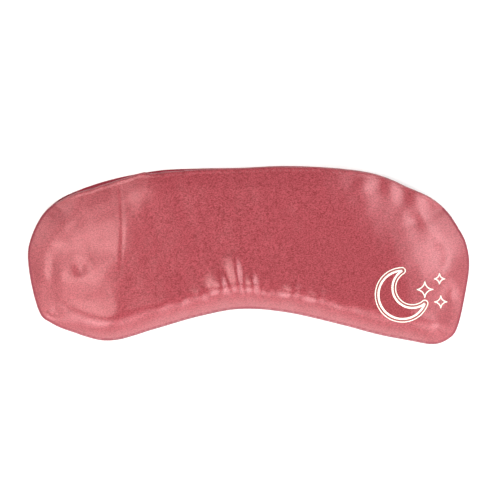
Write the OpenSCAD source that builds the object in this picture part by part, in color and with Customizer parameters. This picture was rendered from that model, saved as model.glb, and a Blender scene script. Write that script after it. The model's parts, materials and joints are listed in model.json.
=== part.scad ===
// Eye pillow: a satin cover with an open mouth in its top edge, and a seed-filled cotton
// pillow that slides out of it. It lies on its back panel. +X runs along its length, +Y
// towards the mouth, and +Z up from the surface that it lies on.

/* [Cover] */
// Length of the cover, end to end
cover_w = 240; // [200:1:290]
// Depth of the cover, from its lowest to its highest edge as worn
cover_h = 97; // [80:1:118]
// Height of the perimeter seam above the surface the cover lies on
seam_z = 5; // [3.5:0.5:7]
// Rise of the front panel from the seam to its crown
crown_rise = 13; // [10:0.5:16]
// Distance from the seam in which the front panel reaches its crown
shoulder_w = 20; // [16:1:26]
// Distance from the seam in which the back panel comes down flat
back_shoulder_w = 13; // [10:1:17]
// Thickness of the satin
satin_t = 0.5; // [0.3:0.1:0.8]
// Width of the seam allowance that is turned inside
allowance_w = 6; // [4:0.5:8]
// Thickness of the two-layer seam allowance
allowance_t = 0.8; // [0.6:0.1:1]

/* [Mouth] */
// Distance along the length from each end of the cover to the mouth
mouth_end_in = 14; // [12:1:20]
// Share of the crown's rise that the front lip keeps at the mouth
lip_share = 0.92; // [0.85:0.01:1]
// Distance from the lip's edge in which it reaches that rise
lip_shoulder_w = 14; // [8:1:20]
// Distance from the highest edge down to the line the front lip folds on
lip_depth = 15.5; // [12:0.5:20]
// How far the front lip's edge lies below the back lip's
lip_setback = 1.2; // [0.5:0.1:2]
// Width of the hem on each lip
hem_w = 3; // [2:0.5:4]
// Thickness of the turned-in hem
hem_t = 0.4; // [0.3:0.1:0.5]

/* [Inner pillow] */
// Distance along the length from each end of the mouth to the pillow
pillow_end_gap = 6; // [5:0.5:10]
// Distance from the cover's top edge to the pillow's
pillow_top_gap = 9; // [7:0.5:12]
// Distance from the cover's bottom seam to the pillow's edge
pillow_bottom_gap = 8; // [7:0.5:12]
// Distance from the pillow's edge in which it reaches full thickness
pillow_shoulder_w = 18; // [14:1:24]
// The same distance on the pillow's underside
pillow_back_shoulder_w = 11; // [9:1:15]
// Thickness of the cotton
cotton_t = 0.4; // [0.3:0.1:0.6]
// Length of the hand-closed gap in the pillow's top seam
closing_w = 60; // [40:5:80]

/* [Motif] */
// Distance from the motif's centre to the right end of the cover
motif_end_in = 31; // [28:1:60]
// Distance from the motif's centre up from the cover's lowest edge
motif_up = 27; // [24:1:50]
// Outer radius of the crescent
moon_r = 13; // [10:0.5:15]
// Width of the motif's main lines
line_w = 1.1; // [0.8:0.1:1.5]
// Distance from the crescent's edge out to the fine contour line round it
contour_out = 1.7; // [1.5:0.1:2.2]

/* [Thread] */
// Diameter of the sewing thread
thread_d = 0.3; // [0.2:0.05:0.4]
// Length of one stitch
stitch_l = 2.2; // [1.5:0.1:3]
// Distance from one stitch to the next along a seam
stitch_pitch = 3.6; // [3.2:0.2:5]

/* [Hidden] */

satin_rose = "#c0606a";
satin_shade = "#a84f5a";
thread_rose = "#b0505c";
ink_cream = "#f5efe0";
ink_brown = "#7d4640";
cotton_cream = "#e6dcc6";
thread_white = "#f2eee4";
seed_brown = "#8a5a34";
bud_violet = "#6a5f8c";

// Clearances between pieces that are sewn or stacked, and round the sliding pillow
lay_gap = 0.05;
fold_gap = 0.3;
slide_gap = 0.4;
rest_gap = 0.25;
fill_gap = 0.3;

// Width of the band along a seam in which its two panels lie flat on each other
seam_flat = 1;
bag_seam_flat = 1.5;

// The outline as cut: its two ends, and between them stations of
// [x, y of the top edge, y of the bottom edge]
left_end = [-120, 0];
right_end = [120, -4.5];
stations = [
  [-118, 10, -16], [-113.5, 19.5, -31.5], [-108, 26, -36.5], [-98, 33, -41],
  [-76, 40.7, -46.5], [-50, 45.8, -39.8], [-28, 47, -33.5], [-5, 47.4, -29.3],
  [20, 48.4, -31], [48, 47.2, -37.2], [70, 43.8, -43], [88, 36.3, -46.5],
  [100, 30.4, -48.4], [108, 23.5, -46], [113.5, 15.5, -39.5], [118, 7, -20]
];

// ---- Curves -------------------------------------------------------------------------

function lerp(a, b, t) = a + (b - a) * t;

// A point at t on the Catmull-Rom curve from b to c
function curve(a, b, c, d, t) =
  (2 * b + (c - a) * t + (2 * a - 5 * b + 4 * c - d) * t * t
    + (3 * b - a - 3 * c + d) * t * t * t) / 2;

top_knots = [left_end, for (s = stations) [s[0], s[1]], right_end];
bottom_knots = [left_end, for (s = stations) [s[0], s[2]], right_end];

// One edge as cut, sampled at the middle of each of its columns. beyond holds the other
// edge's knots, which the curve runs on to at both ends.
columns = 51;
function cut_edge(knots, beyond) =
  let (last = len(knots) - 1)
  let (all = concat([beyond[1]], knots, [beyond[last - 1]]))
  [for (k = [0:columns - 1])
    let (u = (k + 0.5) / columns * last, i = floor(u))
    curve(all[i], all[i + 1], all[i + 2], all[i + 3], u - i)];
top_cut = cut_edge(top_knots, bottom_knots);
bottom_cut = cut_edge(bottom_knots, top_knots);

// The two edges at the cover's own size, centred on the origin
cut_low = [min([for (p = top_cut) p.x]), min([for (p = bottom_cut) p.y])];
cut_high = [max([for (p = top_cut) p.x]), max([for (p = top_cut) p.y])];
function sized(path) =
  [for (p = path) [
    cover_w * ((p.x - cut_low.x) / (cut_high.x - cut_low.x) - 0.5),
    cover_h * ((p.y - cut_low.y) / (cut_high.y - cut_low.y) - 0.5)
  ]];
top_edge = sized(top_cut);
bottom_edge = sized(bottom_cut);

function top_y(x) = lookup(x, top_edge);
function bottom_y(x) = lookup(x, bottom_edge);

// Distance from p to the segment a-b, and to a path
function segment_distance(p, a, b) =
  let (d = b - a, t = (p - a) * d / (d * d))
  norm(p - a - d * min(1, max(0, t)));
function path_distance(p, path) =
  min([for (i = [0:len(path) - 2]) segment_distance(p, path[i], path[i + 1])]);

function reversed(list) = [for (i = [len(list) - 1:-1:0]) list[i]];

// Unit normal to the left of a path, at its point i
function normal_at(path, i) =
  let (d = path[min(i + 1, len(path) - 1)] - path[max(i - 1, 0)])
  [-d.y, d.x] / norm(d);

// The path moved to its left by a distance
function moved(path, by) = [for (i = [0:len(path) - 1]) path[i] + normal_at(path, i) * by];

// Running length up to each point of a path, and the point and direction at a length
function lengths(path, i = 0, sum = 0, out = []) =
  i == len(path) ? out
  : let (s = i == 0 ? 0 : sum + norm(path[i] - path[i - 1]))
    lengths(path, i + 1, s, concat(out, [s]));
function path_length(path) = lengths(path)[len(path) - 1];
function point_at(path, s) =
  let (l = lengths(path))
  [lookup(s, [for (i = [0:len(path) - 1]) [l[i], path[i].x]]),
   lookup(s, [for (i = [0:len(path) - 1]) [l[i], path[i].y]])];

// ---- The cover's shape --------------------------------------------------------------

mouth_half = cover_w / 2 - mouth_end_in;
mouth_left = [-mouth_half, top_y(-mouth_half)];
mouth_right = [mouth_half, top_y(mouth_half)];

// The sewn part of the outline, from the mouth's left end round the bottom to its right
// end, and the open part between the same two points
sewn_path = [
  mouth_left,
  for (p = reversed(top_edge)) if (p.x < -mouth_half - 1) p,
  each bottom_edge,
  for (p = reversed(top_edge)) if (p.x > mouth_half + 1) p,
  mouth_right
];
mouth_path = [
  mouth_left,
  for (p = top_edge) if (abs(p.x) < mouth_half - 1) p,
  mouth_right
];

fold_y = cover_h / 2 - lip_depth;

// How far a shoulder has risen, from 0 at its start to 1 over width w
function risen(d, w) = sin(90 * min(max(d, 0) / w, 1));

// Heights of the front panel's underside and of the back panel's upper side
function front_under(p) =
  let (sewn = risen(path_distance(p, sewn_path) - seam_flat, shoulder_w))
  let (open = risen(path_distance(p, mouth_path), lip_shoulder_w))
  seam_z + crown_rise * sewn * lerp(lip_share, 1, open);
function front_over(p) = front_under(p) + satin_t;
function back_over(p) =
  let (d = max(path_distance(p, sewn_path) - seam_flat, 0))
  satin_t + (seam_z - satin_t) * pow(1 - min(d / back_shoulder_w, 1), 2);

// The front panel's and lip's edge at the mouth, which is set back from the back lip's
function setback(x) = lip_setback * risen(max(mouth_half - abs(x), 0), 4 * lip_setback);
function front_edge_y(x) = top_y(x) - setback(x);

// ---- Sheets and strips --------------------------------------------------------------

// Points between two edges, closer together near both, with a first and last row at the
// width of a flat band. Column i holds rows from the lower edge to the upper one.
function between(lower, upper, rows, flat) =
  [for (i = [0:len(lower) - 1])
    let (a = lower[i], b = upper[i], band = [0, min(flat, (b.y - a.y) / 4)])
    [a, for (j = [0:rows]) lerp(a + band, b - band, (1 - cos(180 * j / rows)) / 2), b]];

// A solid between two grids of points, of which over lies above under
module sheet(over, under) {
  ni = len(over);
  nj = len(over[0]);
  base = ni * nj;
  function id(i, j) = i * nj + j;
  points = concat([for (c = over) each c], [for (c = under) each c]);
  faces = [
    for (i = [0:ni - 2], j = [0:nj - 2]) each [
      [id(i, j), id(i, j + 1), id(i + 1, j + 1)],
      [id(i, j), id(i + 1, j + 1), id(i + 1, j)],
      [base + id(i, j), base + id(i + 1, j + 1), base + id(i, j + 1)],
      [base + id(i, j), base + id(i + 1, j), base + id(i + 1, j + 1)]
    ],
    for (i = [0:ni - 2]) each [
      each wall(id(i, 0), id(i + 1, 0), base),
      each wall(id(i + 1, nj - 1), id(i, nj - 1), base)
    ],
    for (j = [0:nj - 2]) each [
      each wall(id(0, j + 1), id(0, j), base),
      each wall(id(ni - 1, j), id(ni - 1, j + 1), base)
    ]
  ];
  polyhedron(points, faces);
}
// Two triangles from the upper points a and b down to the lower ones
function wall(a, b, base) = [[a, b, base + b], [a, base + b, base + a]];

// The grid's points raised to given heights
function raised(grid, heights) =
  [for (i = [0:len(grid) - 1])
    [for (j = [0:len(grid[i]) - 1]) [grid[i][j].x, grid[i][j].y, heights[i][j]]]];

// A strip of thickness t between two paths that run side by side, the left one second,
// with its underside at the heights that a list gives for the paths' points
module strip(right, left, under, t) {
  paths = [for (i = [0:len(right) - 1]) [right[i], left[i]]];
  sheet(
    raised(paths, [for (z = under) [z + t, z + t]]),
    raised(paths, [for (z = under) [z, z]])
  );
}

// One straight stitch from a to b
thread_sides = 6;
module stitch(a, b) {
  d = b - a;
  translate(a)
    rotate([0, acos(d.z / norm(d)), atan2(d.y, d.x)])
      cylinder(h = norm(d), d = thread_d, $fn = thread_sides);
}

// Stitches along a path, at the heights that a list gives for its points
module stitches(path, heights, from = 0, to = 1e3) {
  l = lengths(path);
  z = [for (i = [0:len(path) - 1]) [l[i], heights[i]]];
  end = min(to, l[len(path) - 1]) - stitch_l;
  for (s = [from:stitch_pitch:end]) {
    a = point_at(path, s);
    b = point_at(path, s + stitch_l);
    stitch([a.x, a.y, lookup(s, z)], [b.x, b.y, lookup(s + stitch_l, z)]);
  }
}

// ---- Cover --------------------------------------------------------------------------

cover_rows = 9;

module front_panel() {
  upper = [for (p = top_edge) [p.x, min(front_edge_y(p.x), fold_y - fold_gap / 2)]];
  grid = between(bottom_edge, upper, cover_rows, seam_flat);
  under = [for (c = grid) [for (p = c) front_under(p)]];
  over = [for (c = under) [for (z = c) z + satin_t]];
  color(satin_rose) sheet(raised(grid, over), raised(grid, under));
}

module back_panel() {
  grid = between(bottom_edge, top_edge, cover_rows, seam_flat);
  over = [for (c = grid) [for (p = c) back_over(p)]];
  under = [for (c = over) [for (z = c) z - satin_t]];
  color(satin_rose) sheet(raised(grid, over), raised(grid, under));
}

// The two layers of cloth that are turned inside along the sewn seam
allowance_start = seam_flat + 1.2;
allowance_thread_z = seam_z + allowance_t / 2 + lay_gap + thread_d / 2;
module seam_allowance() {
  outer = moved(sewn_path, allowance_start);
  inner = moved(sewn_path, allowance_w);
  color(satin_shade)
    strip(outer, inner, [for (p = outer) seam_z - allowance_t / 2], allowance_t);
}

// The lockstitch that joins the panels, seen from inside on the turned-in allowance
seam_line = allowance_start + 0.5;
module seam_stitching() {
  path = moved(sewn_path, seam_line);
  color(thread_rose) stitches(path, [for (p = path) allowance_thread_z]);
}

// The thread that goes to and fro over the allowance's cut edge
overlock_in = 1.2;
module overlock_thread() {
  near = moved(sewn_path, seam_line + overlock_in);
  far = moved(sewn_path, allowance_w - thread_d);
  step = stitch_pitch / path_length(sewn_path);
  color(thread_rose)
    for (t = [step:step:1 - step]) {
      a = point_at(near, t * path_length(near));
      b = point_at(far, (t + step / 2) * path_length(far));
      stitch([a.x, a.y, allowance_thread_z], [b.x, b.y, allowance_thread_z]);
    }
}

// The back lip's hem runs along the stretch in which the back panel lies flat
flat_mouth = [for (p = mouth_path)
  if (path_distance(p, sewn_path) > back_shoulder_w + hem_w) p];
module back_hem() {
  outer = moved(flat_mouth, -lay_gap);
  inner = moved(flat_mouth, -hem_w);
  color(satin_shade)
    strip(inner, outer, [for (p = inner) satin_t + lay_gap], hem_t);
}

// Hem stitches are pulled into the cloth, and stand out of it by a little
stitch_in = 0.8;
thread_proud = 0.1;
module back_hem_stitching() {
  path = moved(flat_mouth, stitch_in - hem_w);
  z = satin_t + lay_gap + hem_t + thread_proud - thread_d / 2;
  color(thread_rose)
    stitches(path, [for (p = path) z], stitch_l, path_length(path) - stitch_l);
}

// The bar of close stitches at each end of the mouth, across the turned-in allowance.
// side is -1 at the mouth's left end and 1 at its right end.
tack_stitches = 5;
tack_pitch = 0.5;
tack_start = 1.5;
module mouth_tack(side) {
  corner = side < 0 ? 0 : len(sewn_path) - 1;
  inward = normal_at(sewn_path, corner);
  along = side * [inward.y, -inward.x];
  z = allowance_thread_z + thread_d + lay_gap;
  for (k = [0:tack_stitches - 1]) {
    a = sewn_path[corner] + inward * seam_line - along * (tack_start + k * tack_pitch);
    b = a + inward * stitch_l;
    stitch([a.x, a.y, z], [b.x, b.y, z]);
  }
}
module mouth_tack_left() {
  color(thread_rose) mouth_tack(-1);
}
module mouth_tack_right() {
  color(thread_rose) mouth_tack(1);
}

// ---- Front lip ----------------------------------------------------------------------

lip_columns = 40;
lip_rows = 4;
lip_tip = 1;
lip_xs = [for (x = [-mouth_half:0.5:mouth_half])
  if (front_edge_y(x) - fold_y - fold_gap / 2 > lip_tip) x];
lip_left = lip_xs[0];
lip_right = lip_xs[len(lip_xs) - 1];
function lip_x(i) = lerp(lip_left, lip_right, i / lip_columns);
lip_edge = [for (i = [0:lip_columns]) [lip_x(i), front_edge_y(lip_x(i))]];

module front_lip() {
  lower = [for (p = lip_edge) [p.x, fold_y + fold_gap / 2]];
  grid = between(lower, lip_edge, lip_rows, lip_tip / 4);
  under = [for (c = grid) [for (p = c) front_under(p)]];
  over = [for (c = under) [for (z = c) z + satin_t]];
  color(satin_rose) sheet(raised(grid, over), raised(grid, under));
}

// The hem keeps clear of the fold line, where the lip is too narrow to hold it
hem_path = [for (p = lip_edge) if (p.y - fold_y > hem_w + 1) p];
module front_hem() {
  outer = moved(hem_path, -lay_gap);
  inner = moved(hem_path, -hem_w);
  under = [for (i = [0:len(hem_path) - 1])
    min(front_under(outer[i]), front_under(inner[i])) - lay_gap - hem_t];
  color(satin_shade) strip(inner, outer, under, hem_t);
}

module front_hem_stitching() {
  path = moved(hem_path, stitch_in - hem_w);
  z = [for (p = path) front_over(p) + thread_proud - thread_d / 2];
  color(thread_rose) stitches(path, z, stitch_l, path_length(path) - stitch_l);
}

// ---- Motif --------------------------------------------------------------------------

// A plain crescent and three four-pointed stars, as lines of ink that follow the panel
motif_centre = [cover_w / 2 - motif_end_in, motif_up - cover_h / 2];
ink_t = 0.2;
moon_tilt = 35;
moon_bite_r = 0.83 * moon_r;
moon_bite_x = 0.5 * moon_r;
tip_gap = 0.25;

// Points on an arc, by its centre, radius and two angles
function arc(c, r, a0, a1, steps) =
  [for (k = [0:steps]) let (a = lerp(a0, a1, k / steps)) c + r * [cos(a), sin(a)]];

// The crescent's two arcs meet where the circle and its bite cross
moon_cross_x =
  (moon_r * moon_r - moon_bite_r * moon_bite_r + moon_bite_x * moon_bite_x)
  / (2 * moon_bite_x);
moon_cross = acos(moon_cross_x / moon_r);
bite_cross = acos((moon_cross_x - moon_bite_x) / moon_bite_r);
moon_place = motif_centre - [0.45 * moon_r, 0];
function turned(path, a, c) =
  [for (p = path) c + [p.x * cos(a) - p.y * sin(a), p.x * sin(a) + p.y * cos(a)]];
moon_outer = turned(arc([0, 0], moon_r, moon_cross + 2, 358 - moon_cross, 28), moon_tilt, moon_place);
moon_inner = turned(
  arc([moon_bite_x, 0], moon_bite_r, bite_cross + 2, 358 - bite_cross, 22), moon_tilt, moon_place);

// Each star is four arcs that curve in between its points: [x, y, radius], in shares of
// the crescent's radius
stars = [[0.48, 0.22, 0.36], [1.1, 0.66, 0.24], [1.16, -0.3, 0.28]];
function star_side(s, quarter) =
  let (c = motif_centre + moon_r * [s[0], s[1]], r = moon_r * s[2])
  [for (k = [0:6])
    let (a = lerp(tip_gap / r * 60, 90 - tip_gap / r * 60, k / 6))
    c + turned([[r * (1 - sin(a)), r * (1 - cos(a))]], 90 * quarter, [0, 0])[0]];

// One line of ink along a path, from a distance right of it to a distance left of it. It
// has soaked into the cloth to half of its depth.
module ink(path, right, left) {
  a = moved(path, -right);
  b = moved(path, left);
  strip(a, b, [for (p = path) front_over(p) - ink_t / 2], ink_t);
}

module motif_lines() {
  contour = turned(
    arc([0, 0], moon_r + contour_out, moon_cross, 360 - moon_cross, 32), moon_tilt, moon_place);
  color(ink_cream) {
    ink(moon_outer, line_w / 2, line_w / 2);
    ink(reversed(moon_inner), line_w / 2, line_w / 2);
    ink(contour, line_w / 4, line_w / 4);
    for (s = stars, q = [0:3]) ink(star_side(s, q), line_w / 4, line_w / 4);
  }
}

// The brown line that lies between the crescent's edge and its contour line
module motif_shadow_line() {
  r = moon_r + contour_out / 2 + line_w / 8;
  path = turned(arc([0, 0], r, moon_cross, 360 - moon_cross, 30), moon_tilt, moon_place);
  color(ink_brown) ink(path, line_w / 8, line_w / 8);
}

// ---- Inner pillow -------------------------------------------------------------------

pillow_columns = 38;
pillow_rows = 8;
pillow_half = mouth_half - pillow_end_gap;
pillow_floor = satin_t + lay_gap + hem_t + thread_proud + rest_gap;
pillow_rise = crown_rise * lip_share - lay_gap - hem_t - slide_gap - cotton_t;
pillow_drop = seam_z - cotton_t - pillow_floor;

// The pillow follows the cover's two edges, and its ends are rounded
end_power = 3.2;
function pillow_u(i) = 0.998 * -cos(180 * (i + 0.5) / pillow_columns);
function end_share(u) = pow(1 - pow(abs(u), end_power), 1 / end_power);
function middle_y(x) = (top_y(x) - pillow_top_gap + bottom_y(x) + pillow_bottom_gap) / 2;
function pillow_edge(side, inset = 0) =
  [for (i = [0:pillow_columns - 1])
    let (u = pillow_u(i), x = u * (pillow_half - inset), mid = middle_y(x))
    let (full = (top_y(x) - pillow_top_gap - bottom_y(x) - pillow_bottom_gap) / 2)
    [x, mid + side * (full * end_share(u) - inset)]];
pillow_top = pillow_edge(1);
pillow_bottom = pillow_edge(-1);
pillow_outline = [each pillow_bottom, each reversed(pillow_top), pillow_bottom[0]];

function bag_top_share(p) =
  risen(path_distance(p, pillow_outline) - bag_seam_flat, pillow_shoulder_w);
function bag_top_under(p) = seam_z + pillow_rise * bag_top_share(p);
function bag_bottom_over(p) =
  let (d = path_distance(p, pillow_outline) - bag_seam_flat)
  seam_z - pillow_drop * risen(d, pillow_back_shoulder_w);

module bag_top() {
  grid = between(pillow_bottom, pillow_top, pillow_rows, bag_seam_flat);
  under = [for (c = grid) [for (p = c) bag_top_under(p)]];
  over = [for (c = under) [for (z = c) z + cotton_t]];
  color(cotton_cream) sheet(raised(grid, over), raised(grid, under));
}

module bag_bottom() {
  grid = between(pillow_bottom, pillow_top, pillow_rows, bag_seam_flat);
  over = [for (c = grid) [for (p = c) bag_bottom_over(p)]];
  under = [for (c = over) [for (z = c) z - cotton_t]];
  color(cotton_cream) sheet(raised(grid, over), raised(grid, under));
}

// The bag's seam, as stitches on its flat band. It leaves out the gap in the top edge
// that is closed by hand once the seeds are in.
bag_seam_line = bag_seam_flat / 2;
bag_thread_z = seam_z + cotton_t + thread_proud - thread_d / 2;
module bag_seam_stitching() {
  back = reversed(pillow_top);
  start = [for (p = back) if (p.x > closing_w / 2 + stitch_l) p];
  end = [for (p = back) if (p.x < -closing_w / 2 - stitch_l) p];
  path = moved([each end, each pillow_bottom, each start], bag_seam_line);
  color(thread_white) stitches(path, [for (p = path) bag_thread_z]);
}

// Hand stitches over the edges of that gap, each slanting up across the seam
closing_out = 0.2;
module bag_closing_stitches() {
  path = moved([for (p = pillow_top) if (abs(p.x) < closing_w / 2) p], closing_out);
  rise = cotton_t;
  color(thread_white)
    for (s = [0:stitch_pitch:path_length(path) - stitch_l]) {
      a = point_at(path, s);
      b = point_at(path, s + stitch_l);
      stitch([a.x, a.y, seam_z - rise], [b.x, b.y, seam_z + rise]);
    }
}

// The seeds as one mass, which leaves a pocket on top for the buds
fill_inset = bag_seam_flat + 1;
bud_d = 1.8;
bud_l = 4;
pocket = bud_d + 3 * fill_gap;
function seed_top(p) = bag_top_under(p) - fill_gap - pocket * pow(bag_top_share(p), 2);
module seed_fill() {
  grid = between(
    pillow_edge(-1, fill_inset), pillow_edge(1, fill_inset), pillow_rows, fill_gap);
  over = [for (c = grid) [for (p = c) seed_top(p)]];
  under = [for (c = grid) [for (p = c) bag_bottom_over(p) + fill_gap]];
  color(seed_brown) sheet(raised(grid, over), raised(grid, under));
}

// Dried lavender buds on the middle of the seeds, each turned its own way
bud_count = 28;
bud_spread = 8;
golden_angle = 137.508;
module lavender_buds() {
  color(bud_violet)
    for (k = [0:bud_count - 1]) {
      x = lerp(-0.7, 0.7, (k + 0.5) / bud_count) * pillow_half;
      y = middle_y(x) + sin(2 * golden_angle * k) * bud_spread;
      z = seed_top([x, y]) + fill_gap + bud_d / 2;
      translate([x, y, z]) rotate([90, 0, golden_angle * k])
        cylinder(h = bud_l, d = bud_d, center = true, $fn = 8);
    }
}

// ---- Nodes --------------------------------------------------------------------------

front_panel();
back_panel();
seam_allowance();
seam_stitching();
overlock_thread();
back_hem();
back_hem_stitching();
mouth_tack_left();
mouth_tack_right();
motif_lines();
motif_shadow_line();
front_lip();
front_hem();
front_hem_stitching();
bag_top();
bag_bottom();
bag_seam_stitching();
bag_closing_stitches();
seed_fill();
lavender_buds();
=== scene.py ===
import json
import math

import bpy
import numpy as np
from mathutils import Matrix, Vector
from mathutils.bvhtree import BVHTree
from mathutils.geometry import delaunay_2d_cdt


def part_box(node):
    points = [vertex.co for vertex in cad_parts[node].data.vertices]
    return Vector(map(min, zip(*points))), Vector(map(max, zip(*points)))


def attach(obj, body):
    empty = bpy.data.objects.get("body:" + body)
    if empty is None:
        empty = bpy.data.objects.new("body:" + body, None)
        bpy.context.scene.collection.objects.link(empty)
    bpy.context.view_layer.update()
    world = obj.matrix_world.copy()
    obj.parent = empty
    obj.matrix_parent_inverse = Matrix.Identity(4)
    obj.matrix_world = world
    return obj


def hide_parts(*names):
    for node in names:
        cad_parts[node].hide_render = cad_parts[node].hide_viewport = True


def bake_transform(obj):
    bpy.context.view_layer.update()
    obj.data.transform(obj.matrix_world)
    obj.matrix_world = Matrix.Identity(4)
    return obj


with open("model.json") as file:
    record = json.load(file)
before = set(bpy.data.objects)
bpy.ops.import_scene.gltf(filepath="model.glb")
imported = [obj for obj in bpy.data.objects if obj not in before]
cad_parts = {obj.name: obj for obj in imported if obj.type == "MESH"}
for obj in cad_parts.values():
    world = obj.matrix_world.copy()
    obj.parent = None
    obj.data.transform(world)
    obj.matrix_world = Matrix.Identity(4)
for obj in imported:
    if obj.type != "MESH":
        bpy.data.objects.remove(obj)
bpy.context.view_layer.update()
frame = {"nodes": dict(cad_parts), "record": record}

# ---- Sizes, in millimetres unless a name says otherwise -----------------------------

MM = 0.001

# The cover's cloth. Its crown is a height over the seam, and a shoulder is the width in
# which the cloth rises or drops from the seam. At the mouth the lip starts at a share of
# the crown. The steps are how far apart a sheet's points lie.
SATIN_T = 0.45
SEAM_Z = 5.0
CROWN = 12.6
FRONT_SHOULDER = 15.0
BACK_SHOULDER = 13.0
MOUTH_HALF = 106.0
LIP_SHARE = 0.93
LIP_SHOULDER = 13.0
FRONT_STEP = 1.05
BACK_STEP = 1.5

# The cloth thins to a share of itself at the sewn edge, over a short run
RIM_SHARE = 0.25
RIM_RUN = 1.2

# Hems. Both end short of the mouth's corners. The front one lies under the front cloth
# and a little in from its edge, and the back one lies on the back cloth.
HEM_W = 3.0
HEM_T = 0.4
HEM_END = 12.0
HEM_UNDER = 0.12
HEM_IN = 0.6
HEM_OVER = 0.02

# How far a hem's stitches lie from its inner edge, and how far apart its points are
SEW_IN = 0.8
TRIM_STEP = 1.5

# The inner pillow's cloth, its flat sewn band, and the room between it and the cover
COTTON_T = 0.35
BAG_STEP = 1.4
BAG_BAND = 1.5
BAG_TOP_SHOULDER = 15.0
BAG_FLOOR_SHOULDER = 11.0
BAG_SLACK = 0.8

# Stitches
STITCH_L = 2.2
STITCH_PITCH = 3.6
THREAD_D = 0.3

# The print on the front: its height, its lines' widths, and how far outside the crescent
# the contour line and the shade line lie
INK_T = 0.08
LINE_W = 1.1
CONTOUR_W = 0.55
SHADE_W = 0.35
STAR_W = 0.6
CONTOUR_OUT = 1.7
SHADE_OUT = 0.95

# ---- Camera -------------------------------------------------------------------------

# It looks straight down, with +Y up in the picture. The picture is this wide at the
# seam's height, and the object lies a little off its middle.
VIEW_W = 272.1
VIEW_CENTRE = (0.8, 2.7)
CAMERA_UP = 1700.0
SENSOR = 36.0

camera_data = bpy.data.cameras.new("camera")
camera_data.sensor_width = SENSOR
camera_data.lens = SENSOR * CAMERA_UP / VIEW_W
camera_data.clip_end = 20
camera = bpy.data.objects.new("camera", camera_data)
camera.location = [VIEW_CENTRE[0] * MM, VIEW_CENTRE[1] * MM, (SEAM_Z + CAMERA_UP) * MM]
bpy.context.collection.objects.link(camera)
bpy.context.scene.camera = camera

# ---- Curves and surfaces ------------------------------------------------------------


def smooth(t):
    """An even step from 0 at t = 0 to 1 at t = 1."""
    t = np.clip(t, 0, 1)
    return t * t * (3 - 2 * t)


def shoulder(d, width):
    """How far a rounded shoulder has risen at distance d from its foot, from 0 to 1."""
    return 1 - (1 - np.clip(d / width, 0, 1)) ** 2.2


def bell(d, width):
    """1 at d = 0, falling to 0 on both sides."""
    return np.exp(-((d / width) ** 2))


def cad_outline(node):
    """A CAD sheet's outline from above, as its lower edge and its upper edge."""
    points = np.array([v.co for v in frame["nodes"][node].data.vertices]) / MM
    points = points[np.argsort(points[:, 0])]
    columns = np.split(points, np.where(np.diff(points[:, 0]) > 0.05)[0] + 1)
    lower = np.array([c[c[:, 1].argmin(), :2] for c in columns])
    upper = np.array([c[c[:, 1].argmax(), :2] for c in columns])
    return lower, upper


def run_lengths(path):
    """How far along a path each of its points lies."""
    return np.append(0, np.cumsum(np.linalg.norm(np.diff(path, axis=0), axis=1)))


def spaced(path, step):
    """An open path again, with its points about step apart."""
    run = run_lengths(path)
    at = np.linspace(0, run[-1], max(int(run[-1] / step), 2) + 1)
    return np.stack([np.interp(at, run, path[:, k]) for k in range(path.shape[1])], 1)


def rounded(path, parts=10):
    """A closed path again, on a smooth curve through its points."""
    a, b, c, d = (np.roll(path, k, axis=0) for k in (1, 0, -1, -2))
    t = np.linspace(0, 1, parts, endpoint=False)[:, None, None]
    curve = 2 * b + (c - a) * t + (2 * a - 5 * b + 4 * c - d) * t**2
    curve = (curve + (3 * b - a - 3 * c + d) * t**3) / 2
    return curve.transpose(1, 0, 2).reshape(-1, 2)


def left_normals(path):
    """The direction to the left of a path at each of its points, seen from above."""
    d = np.gradient(path, axis=0)
    return np.stack([-d[:, 1], d[:, 0]], 1) / np.linalg.norm(d, axis=1)[:, None]


def distance(points, path):
    """Each point's distance to an open path, and the running length of the nearest place."""
    a, d = path[:-1], np.diff(path, axis=0)
    run = run_lengths(path)[:-1]
    size = np.linalg.norm(d, axis=1)
    near, place = [], []
    for block in np.array_split(points, max(len(points) // 4000, 1)):
        v = block[:, None] - a
        t = np.clip((v * d).sum(2) / np.maximum(size**2, 1e-12), 0, 1)
        gap = np.linalg.norm(v - t[..., None] * d, axis=2)
        best = gap.argmin(1)
        rows = np.arange(len(block))
        near.append(gap[rows, best])
        place.append(run[best] + t[rows, best] * size[best])
    return np.concatenate(near), np.concatenate(place)


def inside(points, outline):
    """Which points lie inside a closed outline."""
    a, b = outline, np.roll(outline, -1, axis=0)
    found = np.zeros(len(points), bool)
    for (ax, ay), (bx, by) in zip(a, b):
        crosses = (ay > points[:, 1]) != (by > points[:, 1])
        x = ax + (points[:, 1] - ay) * (bx - ax) / ((by - ay) or 1e-12)
        found ^= crosses & (points[:, 0] < x)
    return found


def filled(outline, step):
    """Points and triangles that fill a closed outline evenly."""
    low, high = outline.min(0), outline.max(0)
    row_step = step * math.sqrt(3) / 2
    rows = np.arange(low[1], high[1], row_step)
    grid = [
        [x + step / 2 * (k % 2), y]
        for k, y in enumerate(rows)
        for x in np.arange(low[0], high[0], step)
    ]
    grid = np.array(grid)
    grid = grid[inside(grid, outline)]
    ring = np.vstack([outline, outline[:1]])
    grid = grid[distance(grid, ring)[0] > 0.6 * step]
    points = [Vector(p) for p in np.vstack([outline, grid])]
    made = delaunay_2d_cdt(points, [], [list(range(len(outline)))], 1, 1e-7)
    return np.array([p[:] for p in made[0]]), np.array(made[2])


def noise(points, scale, seed):
    """Smooth noise from -1 to 1 over the plane, as a sum of waves in turning directions."""
    waves = np.random.default_rng(seed)
    total = np.zeros(len(points))
    for angle in waves.random(9) * math.tau:
        stretch = scale * waves.uniform(0.7, 1.5)
        along = points @ np.array([math.cos(angle), math.sin(angle)])
        total += np.sin(math.tau * along / stretch + waves.random() * math.tau)
    return total / 4


# ---- Meshes -------------------------------------------------------------------------


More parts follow.
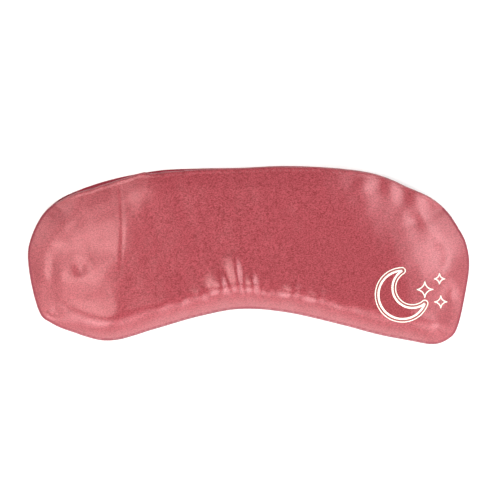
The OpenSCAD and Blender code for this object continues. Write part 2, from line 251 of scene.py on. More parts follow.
def add_mesh(name, points, faces):
    """A new piece from points in millimetres."""
    mesh = bpy.data.meshes.new(name)
    mesh.from_pydata((np.asarray(points) * MM).tolist(), [], [tuple(map(int, f)) for f in faces])
    mesh.validate()
    mesh.polygons.foreach_set("use_smooth", [True] * len(mesh.polygons))
    piece = bpy.data.objects.new(name, mesh)
    bpy.context.collection.objects.link(piece)
    return piece


def joined(name, shapes):
    """One piece from several (points, faces)."""
    points, faces, count = [], [], 0
    for p, f in shapes:
        points.append(np.asarray(p))
        faces += [[i + count for i in face] for face in f]
        count += len(p)
    return add_mesh(name, np.vstack(points), faces)


def paint(piece, name, values):
    """Stores one number a vertex, which a material reads by that name."""
    layer = piece.data.attributes.new(name, "FLOAT", "POINT")
    layer.data.foreach_set("value", np.asarray(values, np.float32))


def vertex_normals(points, triangles):
    """Each point's normal, from the triangles round it, the large ones counting more."""
    a, b, c = (points[triangles[:, k]] for k in range(3))
    across = np.cross(b - a, c - a)
    total = np.zeros_like(points)
    for k in range(3):
        np.add.at(total, triangles[:, k], across)
    return total / np.maximum(np.linalg.norm(total, axis=1), 1e-12)[:, None]


def rim_edges(triangles):
    """The directed edges that only one triangle has."""
    edges = np.vstack([triangles[:, [k, (k + 1) % 3]] for k in range(3)])
    known = {tuple(e) for e in edges}
    return [e for e in known if (e[1], e[0]) not in known]


def thick_sheet(points, triangles, thickness):
    """A closed sheet from its outer side, with its inner side that far behind each point."""
    inner = points - vertex_normals(points, triangles) * np.asarray(thickness)[:, None]
    n = len(points)
    faces = triangles.tolist() + (triangles[:, ::-1] + n).tolist()
    faces += [[b, a, a + n, b + n] for a, b in rim_edges(triangles)]
    return np.vstack([points, inner]), faces


class Surface:
    """A sheet's outer side, which trims and threads are laid on."""

    def __init__(self, points, triangles):
        self.tree = BVHTree.FromPolygons(points.tolist(), triangles.tolist())

    def place(self, x, y):
        """The surface's point and normal at a place seen from above."""
        hit, normal, _, _ = self.tree.ray_cast(Vector((x, y, 100)), Vector((0, 0, -1)))
        if hit is None:
            hit, normal, _, _ = self.tree.find_nearest(Vector((x, y, SEAM_Z)))
        if normal.z < 0:
            normal = -normal
        return np.array(hit), np.array(normal)

    def follow(self, path, lift):
        """A path of (x, y) laid on the surface, lifted off it, and the normals there."""
        found = [self.place(x, y) for x, y in path]
        points = np.array([p for p, _ in found])
        normals = np.array([n for _, n in found])
        return points + lift * normals, normals


def ribbon(points, normals, width, thickness):
    """A flat band with rounded edges along a path, as (points, faces)."""
    ahead = np.gradient(points, axis=0)
    ahead /= np.linalg.norm(ahead, axis=1)[:, None]
    side = np.cross(normals, ahead)
    w, t = width / 2, thickness / 2
    edge = min(t, w) * 0.7
    section = [(-w, 0), (-w + edge, -t), (w - edge, -t), (w, 0), (w - edge, t), (-w + edge, t)]
    rings = np.stack([points + side * u + normals * v for u, v in section], 1)
    return tube(rings)


def tube(rings):
    """A closed tube from rings of points, as (points, faces)."""
    n, k = rings.shape[:2]
    faces = [
        [i * k + j, i * k + (j + 1) % k, (i + 1) * k + (j + 1) % k, (i + 1) * k + j]
        for i in range(n - 1)
        for j in range(k)
    ]
    faces.append(list(range(k))[::-1])
    faces.append(list(range((n - 1) * k, n * k)))
    return rings.reshape(-1, 3), faces


def stitch(a, b, normal):
    """One stitch: a thread that comes up out of the cloth at a and goes down at b."""
    ahead = (b - a) / np.linalg.norm(b - a)
    side = np.cross(normal, ahead)
    rings = []
    for t in np.linspace(0, 1, 6):
        bulge = math.sin(math.pi * t)
        centre = a + (b - a) * t + normal * THREAD_D * (0.45 * bulge - 0.3)
        r = THREAD_D / 2 * (0.6 + 0.4 * bulge)
        angles = np.linspace(0, math.tau, 6, endpoint=False)
        rings.append([centre + r * (side * math.cos(q) + normal * math.sin(q)) for q in angles])
    return tube(np.array(rings))


def stitch_row(path, surface):
    """Stitches along a path of (x, y), laid on a surface."""
    run = run_lengths(path)
    shapes = []
    for s in np.arange(0, run[-1] - STITCH_L, STITCH_PITCH):
        ends = [
            surface.place(*[np.interp(q, run, path[:, k]) for k in (0, 1)])
            for q in (s, s + STITCH_L)
        ]
        shapes.append(stitch(ends[0][0], ends[1][0], ends[0][1]))
    return shapes


# ---- Materials ----------------------------------------------------------------------


class Nodes:
    """Builds a material's nodes in short lines."""

    def __init__(self, name):
        self.material = bpy.data.materials.new(name)
        self.material.use_nodes = True
        self.tree = self.material.node_tree
        self.shader = self.tree.nodes["Principled BSDF"]

    def add(self, kind, **values):
        node = self.tree.nodes.new("ShaderNode" + kind)
        for key, value in values.items():
            if hasattr(node, key):
                setattr(node, key, value)
            else:
                node.inputs[key.replace("_", " ")].default_value = value
        return node

    def link(self, source, target):
        self.tree.links.new(source, target)

    def math(self, operation, a, b):
        node = self.add("Math", operation=operation)
        for socket, value in zip(node.inputs, (a, b)):
            if isinstance(value, (int, float)):
                socket.default_value = value
            else:
                self.link(value, socket)
        return node.outputs[0]

    def place(self, scale=(1, 1, 1)):
        """Object coordinates in millimetres, stretched."""
        coordinates = self.add("TexCoord").outputs["Object"]
        mapping = self.add("Mapping")
        mapping.inputs["Scale"].default_value = [s / MM for s in scale]
        self.link(coordinates, mapping.inputs["Vector"])
        return mapping.outputs[0]

    def noise(self, size, detail=2.0, stretch=(1, 1, 1)):
        """Noise whose features are about size millimetres across."""
        node = self.add("TexNoise", Scale=1 / size, Detail=detail)
        self.link(self.place(stretch), node.inputs["Vector"])
        return node.outputs["Fac"]

    def stored(self, name):
        """A number that paint() left on the mesh."""
        return self.add("Attribute", attribute_name=name).outputs["Fac"]

    def mix(self, factor, a, b):
        """A colour between two, each a tuple or a socket."""
        node = self.add("Mix", data_type="RGBA")
        sockets = [node.inputs["Factor"], *[s for s in node.inputs if s.type == "RGBA"]]
        for socket, value in zip(sockets, (factor, a, b)):
            if isinstance(value, tuple):
                socket.default_value = (*value, 1)
            elif isinstance(value, float):
                socket.default_value = value
            else:
                self.link(value, socket)
        return next(s for s in node.outputs if s.type == "RGBA")

    def ramp(self, value, low, high):
        """0 below low and 1 above high."""
        node = self.add("MapRange", clamp=True)
        self.link(value, node.inputs["Value"])
        node.inputs["From Min"].default_value = low
        node.inputs["From Max"].default_value = high
        return node.outputs[0]

    def bump(self, height, depth):
        """Bumps that are depth millimetres high."""
        node = self.add("Bump", Distance=depth * MM, Strength=1.0)
        self.link(height, node.inputs["Height"])
        self.link(node.outputs[0], self.shader.inputs["Normal"])

    def set(self, **values):
        for key, value in values.items():
            self.shader.inputs[key.replace("_", " ")].default_value = value


# The dull side's roughness. This near a rim the cloth is dull and painted in the reverse side's
# dark colour as seam shade, and from the second distance on it is glossy and unshaded.
DULL_ROUGHNESS = 0.85
RIM_SHADED_DULL_TO, RIM_GLOSSY_UNSHADED_FROM = 0.6, 1.7


def satin(name, dark, light, reverse, roughness, gloss):
    """Satin weave: long floats that catch the light, a dull reverse side, and a dull rim with
    painted seam shade in the reverse side's colour.
    """
    n = Nodes(name)
    grain = n.noise(0.7, 2.0, stretch=(0.8, 1.15, 1))
    threads = n.noise(0.42, 1.0, stretch=(0.6, 1.4, 1))
    floats = n.noise(0.16, 1.0, stretch=(0.25, 1.6, 1))
    fine = n.math("ADD", n.math("MULTIPLY", grain, 0.5), n.math("MULTIPLY", threads, 0.5))
    # Painted seam shade: near the rim the colour turns to the dark reverse colour, as on the
    # reverse side
    dull_and_rim_shade = n.math("SUBTRACT", 1.0, n.ramp(n.stored("edge"), RIM_SHADED_DULL_TO, RIM_GLOSSY_UNSHADED_FROM))
    dull_and_rim_shade = n.math("MAXIMUM", dull_and_rim_shade, n.stored("reverse"))
    tone = n.mix(n.ramp(fine, 0.40, 0.60), dark, light)
    n.link(n.mix(dull_and_rim_shade, tone, reverse), n.shader.inputs["Base Color"])
    gloss_range = n.math("MULTIPLY", dull_and_rim_shade, DULL_ROUGHNESS - roughness)
    n.link(n.math("ADD", gloss_range, roughness), n.shader.inputs["Roughness"])
    n.bump(n.math("ADD", fine, n.math("MULTIPLY", floats, 0.5)), 0.05)
    n.set(Specular_IOR_Level=gloss, Specular_Tint=(1.0, 0.62, 0.64, 1))
    n.set(Sheen_Weight=0.22 * gloss, Sheen_Roughness=0.35, Sheen_Tint=(1.0, 0.72, 0.74, 1))
    return n.material


def cotton(name, dark, light):
    """Plain weave: threads that pass over and under one another."""
    n = Nodes(name)
    warp = n.add("TexWave", wave_type="BANDS", bands_direction="X", Scale=0.55, Distortion=0.6)
    weft = n.add("TexWave", wave_type="BANDS", bands_direction="Y", Scale=0.55, Distortion=0.6)
    for wave in (warp, weft):
        wave.inputs["Detail"].default_value = 0
        n.link(n.place(), wave.inputs["Vector"])
    weave = n.math("MULTIPLY", warp.outputs["Fac"], weft.outputs["Fac"])
    slub = n.noise(2, 2.0, stretch=(0.3, 1.5, 1))
    tone = n.mix(n.ramp(weave, 0.0, 0.8), dark, light)
    tone = n.mix(n.math("MULTIPLY", n.ramp(slub, 0.5, 0.8), 0.4), tone, dark)
    n.link(tone, n.shader.inputs["Base Color"])
    n.bump(weave, 0.12)
    n.set(Roughness=0.85, Sheen_Weight=0.25, Sheen_Roughness=0.5)
    return n.material


def thread(name, dark, light):
    """Twisted yarn, with slanting strands."""
    n = Nodes(name)
    strands = n.add("TexWave", wave_type="BANDS", bands_direction="DIAGONAL", Scale=1.2)
    n.link(n.place(), strands.inputs["Vector"])
    n.link(n.mix(strands.outputs["Fac"], dark, light), n.shader.inputs["Base Color"])
    n.bump(strands.outputs["Fac"], 0.05)
    n.set(Roughness=0.6, Sheen_Weight=0.3)
    return n.material


def ink(name, dark, light):
    """Screen-print ink, which is thin where the weave stands up through it."""
    n = Nodes(name)
    speckle = n.noise(0.4, 2.0)
    n.link(n.mix(n.ramp(speckle, 0.3, 0.55), dark, light), n.shader.inputs["Base Color"])
    n.bump(speckle, 0.03)
    n.set(Roughness=0.7)
    return n.material


def dried(name, dark, light, size, roughness):
    """Dry plant matter, such as a seed's skin or a bud."""
    n = Nodes(name)
    spots = n.noise(size, 3.0)
    n.link(n.mix(n.ramp(spots, 0.3, 0.7), dark, light), n.shader.inputs["Base Color"])
    n.bump(spots, 0.1)
    n.set(Roughness=roughness)
    return n.material


# The third colour is the dull reverse side's, and is also painted on the rim as seam shade
SATIN = satin(
    "satin", (0.112, 0.003, 0.006), (0.278, 0.042, 0.055), (0.14, 0.002, 0.014), 0.36, 1.0
)
SATIN_INSIDE = satin(
    "satin_inside", (0.17, 0.008, 0.02), (0.27, 0.028, 0.045), (0.17, 0.008, 0.02), 0.55, 0.4
)
ROSE_THREAD = thread("rose_thread", (0.17, 0.010, 0.018), (0.30, 0.035, 0.048))
CREAM_INK = ink("cream_ink", (0.56, 0.45, 0.38), (0.74, 0.70, 0.62))
BROWN_INK = ink("brown_ink", (0.16, 0.035, 0.03), (0.24, 0.06, 0.05))
COTTON = cotton("cotton", (0.37, 0.31, 0.22), (0.60, 0.53, 0.42))
WHITE_THREAD = thread("white_thread", (0.70, 0.66, 0.58), (0.86, 0.83, 0.76))
SEED = dried("seed", (0.09, 0.032, 0.012), (0.22, 0.09, 0.035), 1.5, 0.3)
LAVENDER = dried("lavender", (0.10, 0.075, 0.17), (0.26, 0.21, 0.36), 0.8, 0.8)

SLOT_MATERIALS = {
    "satin": SATIN, "satin_inside": SATIN_INSIDE, "rose_thread": ROSE_THREAD,
    "cream_ink": CREAM_INK, "brown_ink": BROWN_INK, "cotton": COTTON,
    "white_thread": WHITE_THREAD, "seed": SEED, "lavender": LAVENDER,
}


def finish_piece(piece, slot, *nodes, body=None):
    """Gives a piece the material of a slot, hides the CAD nodes it stands for, and attaches it
    to its body.
    """
    piece.data.materials.clear()
    piece.data.materials.append(SLOT_MATERIALS[slot])
    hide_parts(*nodes)
    if body:
        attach(piece, body)


# ---- The cover's outline ------------------------------------------------------------

cover_low, cover_high = cad_outline("back_panel")
cover_ring = rounded(np.vstack([cover_low, cover_high[::-1]]))
along_top = cover_ring[:, 1] > np.interp(
    cover_ring[:, 0], cover_low[:, 0], (cover_low[:, 1] + cover_high[:, 1]) / 2
)
at_mouth = along_top & (abs(cover_ring[:, 0]) < MOUTH_HALF)

# The ring starts at the left end and runs anticlockwise, so the mouth is one stretch of it
first, last = np.where(at_mouth)[0][[0, -1]]
mouth_line = cover_ring[first - 1 : last + 2]
sewn_line = np.vstack([cover_ring[last + 1 :], cover_ring[:first]])


def bottom_y(x):
    """The height on the page of the cover's lower edge at x."""
    return np.interp(x, cover_low[:, 0], cover_low[:, 1])


# ---- The front cloth's shape --------------------------------------------------------

# Where the front lip's edge lies below the back lip's: [x, distance]. It gapes near the
# left end, laps over the back lip in one place, and then shows a little of it.
SETBACK = np.array([
    [-106, 0], [-104.5, 0.9], [-96, 1.4], [-84, 1.9], [-74, 1.9], [-66, 1.3], [-61, 0.3],
    [-56, 0.0], [-53.5, 1.3], [-48, 1.7], [-38, 1.3], [-27, 0.8], [0, 0.5], [20, 0.7],
    [42, 0.5], [70, 0.6], [92, 0.3], [106, 0],
])

# Pleats that the seam has drawn up at the nose: [x at the seam, reach to its left, reach
# to its right, length, height, how far it leans to the right]
PLEATS = [
    [-48, 6.0, 3.5, 16, 0.6, 0.1], [-36, 5.0, 2.5, 16, 0.8, 0.0],
    [-24, 4.0, 2.5, 18, 0.8, -0.15], [-12, 5.5, 3.0, 25, 2.0, -0.2],
    [-3.8, 4.0, 2.4, 33, 1.7, -0.14], [3.5, 3.8, 2.6, 23, 1.5, -0.1],
    [9, 3.0, 3.0, 14, 0.6, 0.1], [21, 4.5, 3.5, 20, 1.3, 0.25], [34, 4.5, 3.5, 19, 1.2, 0.3],
    [49, 5.0, 4.0, 14, 0.5, 0.2],
]

# Soft dents and swellings of the filling: [x, y, half width, half height, depth]
DENTS = [
    [-91, -8, 3.6, 4.2, -0.75], [91, 18, 5.5, 4.5, -0.6], [104, 2, 5, 6.5, -0.7],
    [111, -24, 3.2, 6, -1.0], [70.5, 37, 4.5, 6, -0.4], [83, 33, 4, 5.5, -0.4],
    [63, 38, 4.5, 5.5, 0.3], [76.5, 36, 4, 5.5, 0.3], [90, 31, 4.5, 5.5, 0.35],
    [-103, -32, 4, 3, -0.5], [-64, -32, 7, 8, -0.5], [-56, 36, 9, 6, 0.35],
    [12, 32, 12, 6, 0.2], [-18, 35, 7, 5, 0.25], [52, 8, 16, 12, -0.35],
    [84, 2, 10, 12, 0.4], [-84, 20, 9, 10, 0.35], [-98, 12, 5, 6, -0.35],
    [100, -38, 8, 5, 0.5], [72, -33, 8, 5, -0.4], [26, -24, 12, 5, 0.3],
]

# Where the one sharp crease runs across the cover, and its depth and half width
CREASE_X = -68.8
CREASE_DEPTH = 0.24
CREASE_W = 0.9


def left_brow(y):
    """How far left the filling is still full: further at the middle than near the mouth."""
    upper, middle, lower = smooth((y - 5) / 35), bell(y + 12, 11), smooth((-22 - y) / 22)
    return -70 + 16 * upper - 8 * middle - 4 * lower


def ramp(t, ease):
    """0 for t < 0 and t beyond it, with its corner eased."""
    return 0.5 * (t + np.sqrt(t * t + ease * ease)) - 0.5 * ease * np.exp(-abs(t) / 40)


def thinning(p):
    """How much lower the filling lies towards the cover's two ends."""
    x, y = p.T
    left = ramp(left_brow(y) - x, 7)
    right = np.clip(0.8 * x + 0.6 * y - 49, 0, None)
    corner = np.clip(x - 92, 0, None)
    low_right = 4.0 * smooth((x - 84) / 26) * smooth((-8 - y) / 26)
    ends = 8.6 * np.tanh(0.0005 * right**2 + 0.0006 * corner**2)
    return np.minimum(0.18 * left, 9) + ends + low_right


def front_z(p):
    """The front cloth's outer height over points as seen from above."""
    x, y = p.T
    sewn, along = distance(p, sewn_line)
    open_gap, _ = distance(p, mouth_line)
    rise = (CROWN - thinning(p)) * shoulder(sewn, FRONT_SHOULDER)
    rise = rise * (LIP_SHARE + (1 - LIP_SHARE) * smooth(open_gap / LIP_SHOULDER))
    slack = smooth(sewn / 9)
    z = SEAM_Z + 0.1 + rise

    foot = bottom_y(x)
    for px, left, right, length, height, lean in PLEATS:
        up = y - foot
        across = x - px - lean * up
        reach = np.clip(up / length, 0, 1)
        swell = (4 * reach * (1 - reach)) ** 2
        z += height * bell(across, np.where(across < 0, left, right)) * swell
    for dx, dy, half_w, half_h, depth in DENTS:
        z += depth * np.exp(-(((x - dx) / half_w) ** 2) - ((y - dy) / half_h) ** 2) * slack

    # The seam draws the cloth up into fine ripples, and the cloth beside the left one sinks
    ripple = np.sin(math.tau * (along / 6.5 + 0.35 * np.sin(along / 11)))
    patchy = 0.5 + 0.5 * noise(p, 40, 31)
    patchy = patchy * (1 - 0.8 * smooth((x - 30) / 30) * (y < 0))
    z += 0.10 * ripple * bell(sewn - 3.5, 3.5) * smooth(sewn / 1.5) * patchy
    beside_left = smooth((8 - y) / 14) * smooth((y + 40) / 12) * (0.8 + 0.2 * noise(p, 15, 33))
    z -= 1.3 * beside_left * bell(x + 106.5, 4) * smooth(sewn / 5)

    # One sharp crease where the pillow was folded, and slow swells over all of it
    up_crease = smooth((y + 18) / 30) * smooth((open_gap - 1) / 8)
    z -= CREASE_DEPTH * bell(x - CREASE_X - 0.6 * np.sin(y / 9), CREASE_W) * up_crease
    z -= 0.25 * smooth((CREASE_X - x) / 9) * slack
    z += (0.16 * noise(p, 30, 3) + 0.07 * noise(p, 12, 5)) * slack
    return z


def front_outline():
    """The front cloth's ring: the cover's, with the mouth's edge set back."""
    ring = cover_ring.copy()
    x = ring[at_mouth, 0]
    wave = 0.18 * noise(ring[at_mouth] * [1, 0], 17, 11) * smooth((MOUTH_HALF - abs(x)) / 10)
    ring[at_mouth, 1] -= np.interp(x, SETBACK[:, 0], SETBACK[:, 1]) + wave
    ring = np.vstack([ring, ring[:1]])
    return spaced(ring, FRONT_STEP)[:-1]


front_ring = front_outline()
front_points, front_triangles = filled(front_ring, FRONT_STEP)
front_sewn, _ = distance(front_points, sewn_line)
front_surface_points = np.column_stack([front_points, front_z(front_points)])

# At the mouth the cloth turns down over its hem
front_edge_line = front_ring[
    (abs(front_ring[:, 0]) < MOUTH_HALF - 1)
    & (front_ring[:, 1] > bottom_y(front_ring[:, 0]) + 20)
]
front_edge_gap, _ = distance(front_points, front_edge_line)
front_surface_points[:, 2] += 0.22 * bell(front_edge_gap - 1, 0.8)
front_surface_points[:, 2] -= 0.5 * bell(front_edge_gap, 0.5)
front_surface_points[:, 2] -= 0.14 * bell(front_edge_gap - HEM_W + SEW_IN, 0.7)

front_thickness = SATIN_T * np.clip(RIM_SHARE + front_sewn / RIM_RUN, 0, 1)
front_cloth = add_mesh(
    "front_cloth", *thick_sheet(front_surface_points, front_triangles, front_thickness)
)
# The distance to the seam, near which the satin paints a dark seam shade
paint(front_cloth, "edge", np.tile(front_sewn, 2))
paint(front_cloth, "reverse", np.repeat([0.0, 1.0], len(front_points)))
front_side = Surface(front_surface_points, front_triangles)
finish_piece(front_cloth, "satin", "front_panel", "front_lip")

# ---- The back cloth -----------------------------------------------------------------

back_ring = spaced(np.vstack([cover_ring, cover_ring[:1]]), BACK_STEP)[:-1]
back_points, back_triangles = filled(back_ring, BACK_STEP)


def back_z(p):
    """The back cloth's inner height over points as seen from above."""
    sewn, along = distance(p, sewn_line)
    left = 1 - np.clip(sewn / BACK_SHOULDER, 0, 1)
    z = SATIN_T + (SEAM_Z - SATIN_T) * left**2.2
    ripple = np.sin(math.tau * (along / 6.5 + 0.15 * np.sin(along / 17)))
    z += 0.14 * (1 + ripple) * bell(sewn - 4, 3)
    return z


back_sewn, _ = distance(back_points, sewn_line)
back_inner = np.column_stack([back_points, back_z(back_points)])
back_thickness = SATIN_T * np.clip(RIM_SHARE + back_sewn / RIM_RUN, 0, 1)
back_shape = thick_sheet(back_inner, back_triangles, back_thickness)
back_shape[0][:, 2] = np.maximum(back_shape[0][:, 2], 0)
back_cloth = add_mesh("back_cloth", *back_shape)
# The distance to the seam, near which the satin paints a dark seam shade
paint(back_cloth, "edge", np.tile(back_sewn, 2))
paint(back_cloth, "reverse", np.repeat([1.0, 0.0], len(back_points)))
back_side = Surface(back_inner, back_triangles)
finish_piece(back_cloth, "satin", "back_panel", body="cover")

# ---- Hems and their stitches --------------------------------------------------------


# Any distance at which the satin is glossy and has no painted rim shade
FAR_FROM_RIM = 5.0


def hem(name, line, surface, lift):
    """The fold of a hem along a line, shaded as cloth that is far from a rim, without the
    painted rim shade.
    """
    points, normals = surface.follow(line, lift)
    fold = joined(name, [ribbon(points, normals, HEM_W, HEM_T)])
    paint(fold, "edge", np.full(len(fold.data.vertices), FAR_FROM_RIM))
    paint(fold, "reverse", np.full(len(fold.data.vertices), 0.0))
    return fold


def moved(path, by):
    """A path moved to its left, seen from above."""
    return path + left_normals(path) * by


def lip_line(margin):
    """The front lip's edge from right to left, between two places that far from its ends."""
    line = front_edge_line[abs(front_edge_line[:, 0]) < MOUTH_HALF - margin]
    return spaced(line, TRIM_STEP)


front_hem_line = moved(lip_line(HEM_END), HEM_W / 2 + HEM_IN)
front_hem_lift = -SATIN_T - HEM_T / 2 - HEM_UNDER
front_hem = hem("front_hem_fold", front_hem_line, front_side, front_hem_lift)
finish_piece(front_hem, "satin_inside", "front_hem")

front_stitches = joined(
    "front_hem_stitches", stitch_row(moved(lip_line(HEM_END + 1), HEM_W - SEW_IN), front_side)
)
finish_piece(front_stitches, "rose_thread", "front_hem_stitching")

back_edge = mouth_line[abs(mouth_line[:, 0]) < MOUTH_HALF - HEM_END]
back_edge = spaced(back_edge, TRIM_STEP)
back_hem_line = moved(back_edge, HEM_W / 2)
back_hem = hem("back_hem_fold", back_hem_line, back_side, HEM_T / 2 + HEM_OVER)
finish_piece(back_hem, "satin_inside", "back_hem", body="cover")


class Raised:
    """A surface with something of even thickness laid on it."""

    def __init__(self, surface, by):
        self.surface, self.by = surface, by

    def place(self, x, y):
        point, normal = self.surface.place(x, y)
        return point + normal * self.by, normal


back_stitches = joined(
    "back_hem_stitches",
    stitch_row(moved(back_edge[1:-1], HEM_W - SEW_IN), Raised(back_side, HEM_T)),
)
finish_piece(back_stitches, "rose_thread", "back_hem_stitching", body="cover")

# ---- Motif --------------------------------------------------------------------------

# A plain crescent with a contour line round it, and three small stars. The crescent's
# size and place come from the CAD motif's box, and the rest from the crescent's radius:
# the circle that bites into it, and each star's (x, y, size) from the motif's middle.
MOON_TILT = math.radians(35)
BITE_SHARE = 0.83
BITE_AT = 0.5
MIDDLE_AT = 0.45
STARS = [(0.48, 0.22, 0.36), (1.1, 0.66, 0.24), (1.16, -0.3, 0.28)]

motif_low, motif_high = (np.array(c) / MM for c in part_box("motif_lines"))
border = CONTOUR_OUT + LINE_W / 4
moon_r = (motif_high[1] - motif_low[1]) / 2 - border
moon_at = motif_low[:2] + moon_r + border
motif_at = moon_at + [MIDDLE_AT * moon_r, 0]


def arc(centre, radius, start, end, step=0.4):
    """Points along an arc, from one angle to another."""
    count = max(int(abs(end - start) * radius / step), 8)
    angles = np.linspace(start, end, count)
    return centre + radius * np.stack([np.cos(angles), np.sin(angles)], 1)


def turned(path, angle, centre):
    """A path turned about the origin, then moved so that the origin lies at centre."""
    c, s = math.cos(angle), math.sin(angle)
    return path @ np.array([[c, s], [-s, c]]) + centre


def crescent(out=0.0):
    """The crescent's closed outline in its place, or a line that far outside it."""
    bite_r, bite_x = BITE_SHARE * moon_r, BITE_AT * moon_r
    cross = (moon_r**2 - bite_r**2 + bite_x**2) / (2 * bite_x)
    outer = math.acos(cross / moon_r)
    inner = math.acos((cross - bite_x) / bite_r)
    horn = np.array([cross, moon_r * math.sin(outer)])
    limb = arc(np.zeros(2), moon_r + out, outer, math.tau - outer)
    bite = arc(np.array([bite_x, 0]), bite_r - out, math.tau - inner, inner)
    if out:
        low_cap = arc(horn * [1, -1], out, -outer, math.pi - inner)
        high_cap = arc(horn, out, math.pi + inner, math.tau + outer)
        path = np.vstack([limb, low_cap, bite, high_cap])
    else:
        path = np.vstack([limb, bite])
    return turned(path, MOON_TILT, moon_at)


def star(radius):
    """A four-pointed star's outline, from four arcs."""
    a = np.linspace(0, math.pi / 2, 12)
    side = radius * np.stack([1 - np.sin(a), 1 - np.cos(a)], 1)
    return np.vstack([turned(side, k * math.pi / 2, np.zeros(2))[:-1] for k in range(4)])


def ink_band(path, width, lift=INK_T):
    """A printed line on the front cloth, along a closed outline."""
    line = np.vstack([path, path[:1]]) if np.linalg.norm(path[0] - path[-1]) < 0.6 else path
    line = spaced(line, 0.45)
    points, normals = front_side.follow(line, lift)
    return ribbon(points, normals, width, 0.1)


lines = [ink_band(crescent(), LINE_W), ink_band(crescent(CONTOUR_OUT), CONTOUR_W)]
for sx, sy, size in STARS:
    star_at = motif_at + moon_r * np.array([sx, sy])
    lines.append(ink_band(star(moon_r * size) + star_at, STAR_W))
motif_lines = joined("motif_ink", lines)
finish_piece(motif_lines, "cream_ink", "motif_lines", body="cover")
motif_shade = joined("motif_shade_ink", [ink_band(crescent(SHADE_OUT), SHADE_W, INK_T / 2)])
finish_piece(motif_shade, "brown_ink", "motif_shadow_line", body="cover")

# ---- The inner pillow ---------------------------------------------------------------

bag_low, bag_high = cad_outline("bag_top")
bag_ring = rounded(np.vstack([bag_low, bag_high[::-1]]))
bag_ring = spaced(np.vstack([bag_ring, bag_ring[:1]]), BAG_STEP)[:-1]
bag_points, bag_triangles = filled(bag_ring, BAG_STEP)
bag_loop = np.vstack([bag_ring, bag_ring[:1]])
bag_gap, bag_along = distance(bag_points, bag_loop)
BAG_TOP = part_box("bag_top")[1][2] / MM
BAG_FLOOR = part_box("bag_bottom")[0][2] / MM

# The seam pinches the cotton, the seeds show through it, and it swells slowly
pinch = np.sin(math.tau * bag_along / 7.5) * bell(bag_gap - 5, 3.5)
lumps = noise(bag_points, 3.1, 21) * smooth(bag_gap / 8)
swells = noise(bag_points, 24, 22) * smooth(bag_gap / 10)
bag_rise = BAG_TOP - SEAM_Z - COTTON_T - BAG_SLACK - thinning(bag_points)
bag_top_z = SEAM_Z + COTTON_T + bag_rise * shoulder(bag_gap - BAG_BAND, BAG_TOP_SHOULDER)
bag_top_z += 0.55 * pinch + 0.22 * lumps + 0.4 * swells * smooth(bag_gap / 12)
bag_drop = SEAM_Z - COTTON_T - BAG_FLOOR
bag_bottom_z = SEAM_Z - COTTON_T - bag_drop * shoulder(bag_gap - BAG_BAND, BAG_FLOOR_SHOULDER)
bag_bottom_z += 0.1 * (1 + lumps) * smooth(bag_gap / 8)

bag_thickness = np.full(len(bag_points), COTTON_T)
bag_top_points = np.column_stack([bag_points, bag_top_z])
bag_top = add_mesh("bag_top_cloth", *thick_sheet(bag_top_points, bag_triangles, bag_thickness))
finish_piece(bag_top, "cotton", "bag_top", body="inner_pillow")
bag_bottom_points = np.column_stack([bag_points, bag_bottom_z])
bag_bottom = add_mesh(
    "bag_bottom_cloth",
    *thick_sheet(bag_bottom_points, bag_triangles[:, ::-1], bag_thickness),
)
finish_piece(bag_bottom, "cotton", "bag_bottom", body="inner_pillow")

bag_side = Surface(bag_top_points, bag_triangles)
bag_stitches = joined("bag_seam_stitches", stitch_row(moved(bag_loop, BAG_BAND / 2), bag_side))
finish_piece(bag_stitches, "white_thread", "bag_seam_stitching", body="inner_pillow")

# ---- CAD nodes that show as they are ------------------------------------------------

for part in frame["record"]["subparts"]:
    node = frame["nodes"][part["node"]]
    node.data.materials.clear()
    node.data.materials.append(SLOT_MATERIALS[part["material_slot"]])

# ---- The front pieces' transforms, baked into their meshes --------------------------

for piece in (front_cloth, front_hem, front_stitches):
    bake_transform(piece)

# ---- Floor and light ----------------------------------------------------------------

# The floor lies a little under the cover, so that their faces don't coincide
FLOOR_SIZE = 6
FLOOR_DROP = 0.05 * MM

bpy.ops.mesh.primitive_plane_add(size=FLOOR_SIZE)
floor = bpy.context.object
floor.name = "floor"
floor.location.z = -FLOOR_DROP
floor_look = Nodes("floor")
mottle = floor_look.noise(60, 2.0)
floor_look.link(
    floor_look.mix(mottle, (0.90, 0.90, 0.90), (0.93, 0.93, 0.93)),
    floor_look.shader.inputs["Base Color"],
)
floor_look.set(Roughness=0.9)
floor.data.materials.append(floor_look.material)

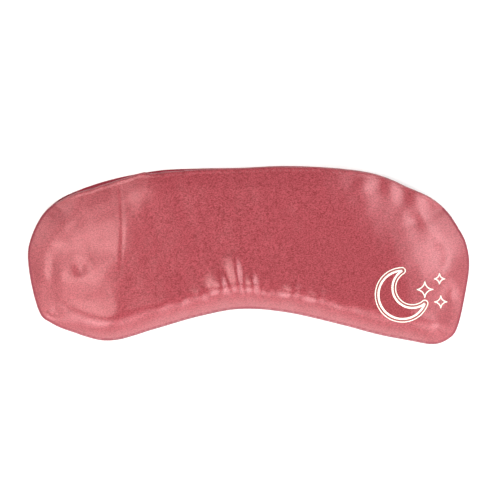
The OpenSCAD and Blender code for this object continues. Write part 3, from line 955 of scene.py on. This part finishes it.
# A white room: dim overhead and bright along the horizon. The heights are the upward part
# of a direction of length 1.
SKY_GLOW, HORIZON_GLOW = 0.13, 1.0
HORIZON_TOP, SKY_FROM = 0.15, 0.75


def white_room():
    world = bpy.data.worlds.new("studio")
    world.use_nodes = True
    nodes, links = world.node_tree.nodes, world.node_tree.links
    direction = nodes.new("ShaderNodeTexCoord")
    split = nodes.new("ShaderNodeSeparateXYZ")
    glow = nodes.new("ShaderNodeMapRange")
    glow.interpolation_type = "SMOOTHSTEP"
    glow.inputs["From Min"].default_value = HORIZON_TOP
    glow.inputs["From Max"].default_value = SKY_FROM
    glow.inputs["To Min"].default_value = HORIZON_GLOW
    glow.inputs["To Max"].default_value = SKY_GLOW
    links.new(direction.outputs["Generated"], split.inputs[0])
    links.new(split.outputs["Z"], glow.inputs["Value"])
    links.new(glow.outputs["Result"], nodes["Background"].inputs["Strength"])
    nodes["Background"].inputs["Color"].default_value = (1, 1, 1, 1)
    return world


bpy.context.scene.world = white_room()


def soft_light(name, place, size, power, tint=(1, 1, 1)):
    """A round light at a place in metres, aimed at the object, with a power in watts."""
    data = bpy.data.lights.new(name, "AREA")
    data.shape = "DISK"
    data.size = size
    data.energy = power
    data.color = tint
    light = bpy.data.objects.new(name, data)
    light.location = place
    light.rotation_euler = (-Vector(place)).to_track_quat("-Z", "Y").to_euler()
    bpy.context.collection.objects.link(light)


WARM = (1.0, 0.94, 0.90)
soft_light("left", (-0.55, 0.0, 1.05), 0.36, 6.5, (1.0, 0.93, 0.89))
soft_light("right", (0.72, 0.28, 0.92), 0.4, 6.4)
soft_light("low_left_back", (-1.0, 0.4, 0.6), 0.7, 4.2, WARM)
soft_light("low_left_front", (-0.95, -0.55, 0.65), 0.7, 4.6, WARM)
soft_light("low_right_back", (1.0, 0.45, 0.6), 0.7, 5.0)
soft_light("low_right_front", (0.9, -0.55, 0.65), 0.7, 9.5)
soft_light("front_left", (-0.5, -0.95, 0.65), 0.6, 9.5)
soft_light("low_front", (0.45, -1.0, 0.6), 0.8, 7.0)

bpy.context.scene.view_settings.view_transform = "Standard"
